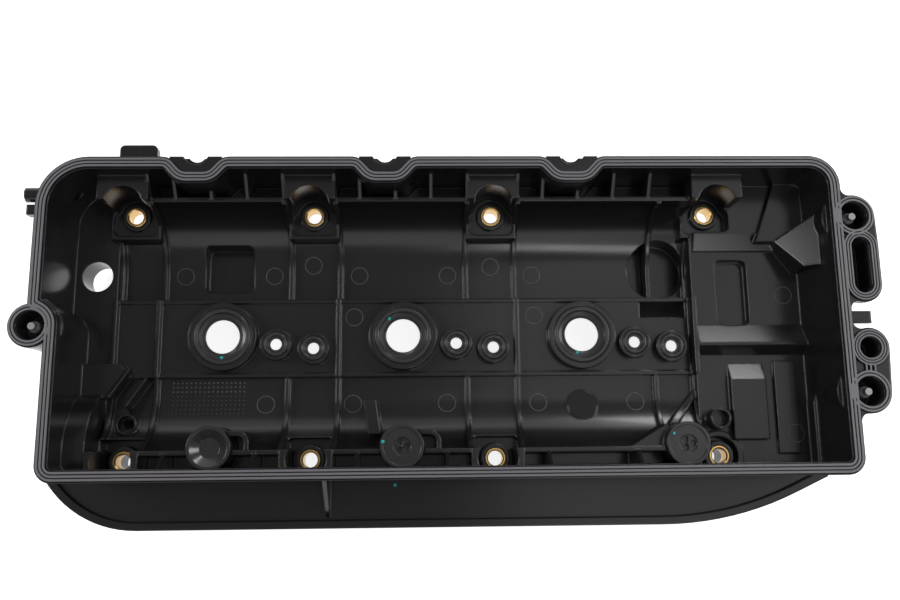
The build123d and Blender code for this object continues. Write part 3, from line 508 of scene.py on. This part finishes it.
@dataclass
class MouldMarks:
    """Ejector pin rings and a date grid of plain dots that the mould leaves on the floors, in millimetres."""

    pins: tuple[Spot, ...] = (
        (-123.0, 36.5), (-73.0, 36.5), (-25.0, 36.5), (25.0, 36.5), (73.0, 36.5), (-51.0, 42.4),
        (49.4, 41.3), (147.7, 37.4), (-27.0, 11.0), (72.6, 11.5), (-74.7, -36.5), (-27.5, -36.5),
        (23.8, -36.5), (73.8, -36.5), (127.4, -36.5), (211.0, 21.0), (212.0, -55.0))
    pin_radius: float = 4.7
    pin_line: float = 0.5
    pin_corners: int = 48
    grid_corner: Spot = (-125.0, -24.5)
    grid_pitch: float = 2.4
    columns: int = 17
    rows: int = 8
    bold_rows: int = 3
    bold_radius: float = 0.55
    faint_radius: float = 0.3
    dot_corners: int = 10
    height: float = 0.15
    # The marks are real raised rings and dots; their colour, lighter than the shell's, is a painted highlight
    # standing in for the glints on their edges.
    finish: MouldedFinish = MouldedFinish("mark_painted_highlight", (0.065, 0.064, 0.068), 0.30, edge_radius=0.0002)

    def add_ring(self, form: bmesh.types.BMesh, middle: Spot) -> None:
        """Add the flat ring of one ejector pin above its place.

        Args:
            form: form that gets the ring.
            middle: middle of the pin.
        """
        edges = []
        for radius in (self.pin_radius - self.pin_line / 2, self.pin_radius + self.pin_line / 2):
            loop = bmesh.ops.create_circle(form, segments=self.pin_corners, radius=radius * MM,
                                           matrix=Matrix.Translation(engine_point((*middle, 0.0))))
            edges += {edge for vert in loop["verts"] for edge in vert.link_edges}
        bmesh.ops.bridge_loops(form, edges=edges)

    def add_grid(self, form: bmesh.types.BMesh) -> None:
        """Add the flat dots of the date grid above their places.

        Args:
            form: form that gets the dots.
        """
        left, top = self.grid_corner
        for row in range(self.rows):
            radius = self.bold_radius if row < self.bold_rows else self.faint_radius
            for column in range(self.columns):
                place = (left + column * self.grid_pitch, top - row * self.grid_pitch, 0.0)
                bmesh.ops.create_circle(form, cap_ends=True, segments=self.dot_corners, radius=radius * MM,
                                        matrix=Matrix.Translation(engine_point(place)))

    def build(self, grain: bpy.types.NodeTree) -> bpy.types.Object:
        """Build all marks as one raised piece that lies on the floors.

        Args:
            grain: the shared grain group.

        Returns:
            The piece.
        """
        form = bmesh.new()
        for middle in self.pins:
            self.add_ring(form, middle)
        self.add_grid(form)
        shell = search_tree("cover_shell")
        for vert in form.verts:
            point = shell.ray_cast(vert.co, DOWN)[0]
            vert.co.z = point.z - self.height * MM / 2
        raised = bmesh.ops.extrude_face_region(form, geom=form.faces[:], use_keep_orig=True)
        lift(form, raised["geom"], self.height * MM)
        bmesh.ops.recalc_face_normals(form, faces=form.faces[:])
        return add_piece("mould_marks", form, self.finish.material(grain))


@dataclass
class PaintDots:
    """Small dabs of inspection paint, laid on the topmost surfaces below their places, in millimetres."""

    places: tuple[Spot, ...] = (
        (-98.3, -11.3), (-7.6, 9.4), (95.3, -10.0), (-9.7, -58.0), (139.5, -55.0), (-4.6, -80.0))
    radius: float = 0.9
    height: float = 0.25
    segments: int = 16
    rings: int = 8
    finish: PaintFinish = PaintFinish("teal_paint", (0.0, 0.42, 0.40), 0.5)

    def topmost(self, trees: Sequence[BVHTree], place: Spot) -> tuple[Vector, Vector]:
        """Find the topmost surface below a place on the sealing plane.

        Args:
            trees: search trees of the CAD nodes.
            place: place of the dab.

        Returns:
            The point on the surface and the surface's normal there, in the row frame.
        """
        start = engine_point((*place, 0.0))
        hits = [tree.ray_cast(start, DOWN)[:2] for tree in trees]
        return max((hit for hit in hits if hit[0] is not None), key=lambda hit: hit[0].z)

    def build(self) -> bpy.types.Object:
        """Build all dabs as one piece.

        Returns:
            The piece.
        """
        form = bmesh.new()
        trees = [search_tree(name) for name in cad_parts]
        flat = Matrix.Diagonal((self.radius * MM, self.radius * MM, self.height * MM, 1.0))
        for place in self.places:
            point, normal = self.topmost(trees, place)
            tilt = normal.to_track_quat("Z", "Y").to_matrix().to_4x4()
            bmesh.ops.create_uvsphere(form, u_segments=self.segments, v_segments=self.rings, radius=1.0,
                                      matrix=Matrix.Translation(point) @ tilt @ flat)
            depth = (ORIGIN.z - point.z) / MM
            LOG.info("dab at %.1f %.1f lies %.1f mm below the sealing plane", *place, depth)
        for face in form.faces:
            face.smooth = True
        return add_piece("paint_dots", form, self.finish.material())


@dataclass(frozen=True)
class LampPanel:
    """Soft lamp panel aimed at the middle of the cover, in degrees, metres and watts."""

    name: str
    side: Side
    elevation: float
    size: tuple[float, float]
    power: float
    distance: float = 1.3

    def build(self, target: Vector) -> bpy.types.Object:
        """Build the lamp.

        Args:
            target: point that the panel faces.

        Returns:
            The lamp object.
        """
        data = bpy.data.lights.new(self.name, "AREA")
        data.shape = "RECTANGLE"
        data.size, data.size_y = self.size
        data.energy = self.power
        bearing = math.radians(self.side.value)
        rise = math.radians(self.elevation)
        level = math.cos(rise)
        away = Vector((math.cos(bearing) * level, math.sin(bearing) * level, math.sin(rise)))
        lamp = new_object(self.name, data)
        lamp.location = target + away * self.distance
        lamp.rotation_euler = (-away).to_track_quat("-Z", "Y").to_euler()
        LOG.info("lamp %s stands at the %s", self.name, self.side.name.lower())
        return lamp


def background_mask(tree: bpy.types.NodeTree) -> bpy.types.NodeSocket:
    """Add a mask that is 1 for camera, glossy and transmission rays.

    Args:
        tree: node tree that gets the nodes.

    Returns:
        The mask.
    """
    rays = tree.nodes.new("ShaderNodeLightPath")
    seen = math_node(tree, "MAXIMUM", rays.outputs["Is Camera Ray"], rays.outputs["Is Transmission Ray"])
    return math_node(tree, "MAXIMUM", seen, rays.outputs["Is Glossy Ray"])


@dataclass
class Studio:
    """White floor, soft surroundings and lamp panels. The floor is in metres, the target in millimetres."""

    floor_size: float = 6.0
    backdrop_height: float = 3.0
    floor_glow: float = 0.86
    floor_colour: Colour = (0.80, 0.80, 0.80)
    floor_roughness: float = 1.0
    floor_specular: float = 0.0
    ambient: float = 0.26
    target: Place = (20.0, 0.0, -30.0)
    panels: tuple[LampPanel, ...] = (
        LampPanel("back_right_panel", Side.BACK_RIGHT, 29.0, (0.32, 0.25), 2.8),
        LampPanel("front_right_panel", Side.FRONT_RIGHT, 49.0, (0.5, 0.25), 1.8),
        LampPanel("high_right_panel", Side.RIGHT, 66.0, (0.9, 0.9), 1.6),
        LampPanel("back_panel", Side.BACK, 30.0, (1.2, 0.4), 0.8),
        LampPanel("front_panel", Side.FRONT, 36.0, (1.2, 0.4), 1.2),
        LampPanel("left_panel", Side.LEFT, 33.0, (0.45, 0.4), 6.0),
        LampPanel("right_panel", Side.RIGHT, 33.0, (0.45, 0.4), 5.0),
    )

    def floor_material(self) -> bpy.types.Material:
        """Build the floor's material, which shows white and keeps a soft shadow.

        Returns:
            The material.
        """
        mat = new_material("white_floor", self.floor_colour, self.floor_roughness)
        tree = mat.node_tree
        shader = tree.nodes[SHADER]
        shader.inputs["Specular IOR Level"].default_value = self.floor_specular
        shader.inputs["Emission Color"].default_value = WHITE
        glow = math_node(tree, "MULTIPLY", background_mask(tree), self.floor_glow)
        tree.links.new(glow, shader.inputs["Emission Strength"])
        return mat

    def build_floor(self) -> bpy.types.Object:
        """Build the floor with its raised edge.

        Returns:
            The floor.
        """
        form = bmesh.new()
        bmesh.ops.create_grid(form, x_segments=1, y_segments=1, size=self.floor_size)
        raised = bmesh.ops.extrude_edge_only(form, edges=form.edges[:])
        lift(form, raised["geom"], self.backdrop_height)
        floor = new_object("floor", finished_mesh("floor", form, self.floor_material()))
        return floor

    def build_world(self) -> None:
        """Make the surroundings an even soft grey."""
        world = bpy.data.worlds.new("studio")
        bpy.context.scene.world = world
        world.use_nodes = True
        shader = world.node_tree.nodes["Background"]
        shader.inputs["Color"].default_value = WHITE
        shader.inputs["Strength"].default_value = self.ambient

    def build(self) -> None:
        """Build the floor, the surroundings and the lamps."""
        self.build_floor()
        self.build_world()
        for panel in self.panels:
            panel.build(engine_point(self.target))


@dataclass
class PhotoCamera:
    """Camera at the photograph's viewing angle, with its place in millimetres and its turn in degrees."""

    name: str = "photo_camera"
    place: Place = (11.575, -72.346, 447.469)
    turn: tuple[float, float, float] = (10.697, -1.563, -0.616)
    lens: float = 36.0
    sensor: float = 36.0

    def build(self) -> None:
        """Build the camera and make it the scene's own."""
        data = bpy.data.cameras.new(self.name)
        data.lens = self.lens
        data.sensor_width = self.sensor
        camera = new_object(self.name, data)
        camera.location = engine_point(self.place)
        camera.rotation_euler = Euler([math.radians(angle) for angle in self.turn])
        bpy.context.scene.camera = camera


def main() -> None:
    """Dress the cover, then build the marks, the paint dots, the studio and the camera."""
    logging.basicConfig(level=logging.INFO)
    bpy.context.scene.view_settings.view_transform = "Standard"
    grain = MouldingGrain().group()
    Mouldings().dress(grain)
    Rubbers().dress(grain)
    Metals().dress()
    MouldMarks().build(grain)
    PaintDots().build()
    Studio().build()
    PhotoCamera().build()


if __name__ == "__main__":
    main()
